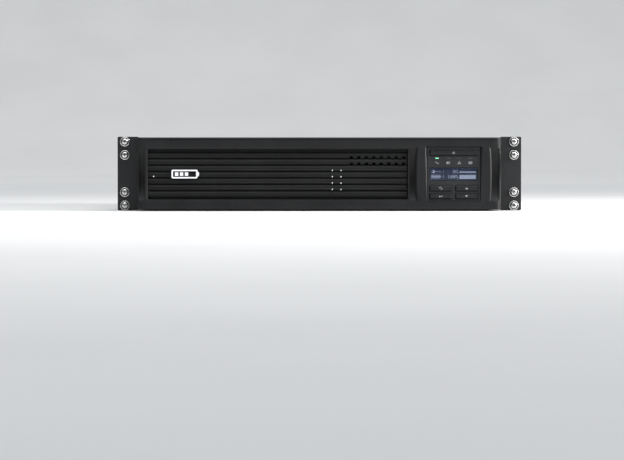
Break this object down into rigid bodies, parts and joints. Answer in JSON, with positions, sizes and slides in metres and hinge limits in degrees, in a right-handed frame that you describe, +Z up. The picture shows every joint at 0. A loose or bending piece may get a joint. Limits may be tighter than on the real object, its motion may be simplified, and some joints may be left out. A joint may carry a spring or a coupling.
{
  "type": "rack-mount uninterruptible power supply",
  "caption": "Two-unit rack-mount uninterruptible power supply with a louvred clip-on bezel, a front display with keys, a battery drawer and rear power outlets.",
  "frame": {"origin": "centre of the rack screw pattern, on the plane of the ears' back faces", "axes": "+Z up, +Y from the front to the back, X across the rack with the display at +X"},
  "size_m": [0.4826, 0.4855, 0.088],
  "materials": {
    "case_steel": "fine black powder coat",
    "panel_steel": "satin black paint",
    "zinc_steel": "bright zinc",
    "nickel": "bright nickel",
    "black_oxide": "black oxide",
    "bezel_plastic": "fine texture",
    "insert_plastic": "fine texture",
    "badge_plastic": "smooth",
    "display_plastic": "satin",
    "button_plastic": "satin",
    "lcd_glass": "clear",
    "lcd_body": "smooth",
    "light_pipe": "clear",
    "circuit_board": "solder mask",
    "switch_plastic": "smooth",
    "ribbon": "smooth",
    "battery_case": "moulded",
    "brass": "plain",
    "lead_insulation": "smooth",
    "connector_grey": "smooth",
    "connector_red": "smooth",
    "webbing": "woven",
    "capacitor_sleeve": "shrink sleeve",
    "extrusion": "extruded",
    "relay_plastic": "moulded",
    "copper_winding": "enamelled",
    "core_steel": "laminated",
    "winding_wrap": "taped",
    "fan_plastic": "moulded",
    "inlet_plastic": "moulded",
    "breaker_white": "smooth",
    "port_metal": "plated"
  },
  "bodies": {
    "chassis": {"chassis_tray": "case_steel", "top_cover": "case_steel", "cover_screws": "black_oxide", "front_panel": "panel_steel", "rear_panel": "case_steel", "panel_screws": "black_oxide", "bay_partition": "zinc_steel", "ear_left": "case_steel", "ear_right": "case_steel", "ear_screws": "black_oxide", "rack_screws": "nickel", "rack_washers": "nickel", "ball_studs": "zinc_steel", "display_housing": "display_plastic", "display_screws": "zinc_steel", "lcd_window": "lcd_glass", "lcd_module": "lcd_body", "display_board": "circuit_board", "light_pipes": "light_pipe", "tact_switches": "switch_plastic", "display_cable": "ribbon", "battery_socket": "connector_red", "main_board": "circuit_board", "board_standoffs": "zinc_steel", "capacitors": "capacitor_sleeve", "heatsinks": "extrusion", "relays": "relay_plastic", "chokes": "copper_winding", "transformer_core": "core_steel", "transformer_winding": "winding_wrap", "transformer_bolts": "zinc_steel", "power_wiring": "lead_insulation", "fan_frame": "fan_plastic", "ac_inlet": "inlet_plastic", "inlet_pins": "nickel", "ac_outlets": "inlet_plastic", "breaker_body": "inlet_plastic", "data_ports": "port_metal", "ground_screw": "brass"},
    "bezel": {"bezel_frame": "bezel_plastic", "louvre_insert": "insert_plastic", "louvre_pins": "nickel", "bezel_badge": "badge_plastic"},
    "battery_cover": {"battery_door": "panel_steel", "battery_door_screws": "nickel"},
    "battery_drawer": {"battery_tray": "zinc_steel", "battery_blocks": "battery_case", "battery_terminals": "brass", "battery_leads": "lead_insulation", "battery_plug": "connector_grey", "pull_strap": "webbing"},
    "power_key": {"power_button": "button_plastic"},
    "escape_key": {"escape_button": "button_plastic"},
    "enter_key": {"enter_button": "button_plastic"},
    "up_key": {"up_button": "button_plastic"},
    "down_key": {"down_button": "button_plastic"},
    "fan": {"fan_rotor": "fan_plastic"},
    "breaker_key": {"breaker_button": "breaker_white"},
    "slot_plate": {"slot_cover": "case_steel", "slot_screws": "nickel"}
  },
  "joints": [
    {"name": "bezel_pull", "type": "slide", "parent": "chassis", "child": "bezel", "axis": [0, -1, 0], "range_m": [0, 0.45]},
    {"name": "battery_door_pull", "type": "slide", "parent": "chassis", "child": "battery_cover", "axis": [0, -1, 0], "range_m": [0, 0.36]},
    {"name": "battery_drawer_slide", "type": "slide", "parent": "chassis", "child": "battery_drawer", "axis": [0, -1, 0], "range_m": [0, 0.225]},
    {"name": "power_press", "type": "slide", "parent": "chassis", "child": "power_key", "axis": [0, 1, 0], "range_m": [0, 0.0008], "stiffness_N_per_m": 400},
    {"name": "escape_press", "type": "slide", "parent": "chassis", "child": "escape_key", "axis": [0, 1, 0], "range_m": [0, 0.0008], "stiffness_N_per_m": 400},
    {"name": "enter_press", "type": "slide", "parent": "chassis", "child": "enter_key", "axis": [0, 1, 0], "range_m": [0, 0.0008], "stiffness_N_per_m": 400},
    {"name": "up_press", "type": "slide", "parent": "chassis", "child": "up_key", "axis": [0, 1, 0], "range_m": [0, 0.0008], "stiffness_N_per_m": 400},
    {"name": "down_press", "type": "slide", "parent": "chassis", "child": "down_key", "axis": [0, 1, 0], "range_m": [0, 0.0008], "stiffness_N_per_m": 400},
    {"name": "fan_spin", "type": "hinge", "parent": "chassis", "child": "fan", "pos_m": [-0.165, 0.44, 0], "axis": [0, 1, 0], "continuous": true},
    {"name": "breaker_pop", "type": "slide", "parent": "chassis", "child": "breaker_key", "axis": [0, 1, 0], "range_m": [0, 0.003]},
    {"name": "slot_cover_pull", "type": "slide", "parent": "chassis", "child": "slot_plate", "axis": [0, 1, 0], "range_m": [0, 0.06]}
  ],
  "couplings": [
    {"joint": "battery_door_pull", "follows": "bezel_pull", "ratio": 0.8},
    {"joint": "battery_drawer_slide", "follows": "bezel_pull", "ratio": 0.5}
  ]
}
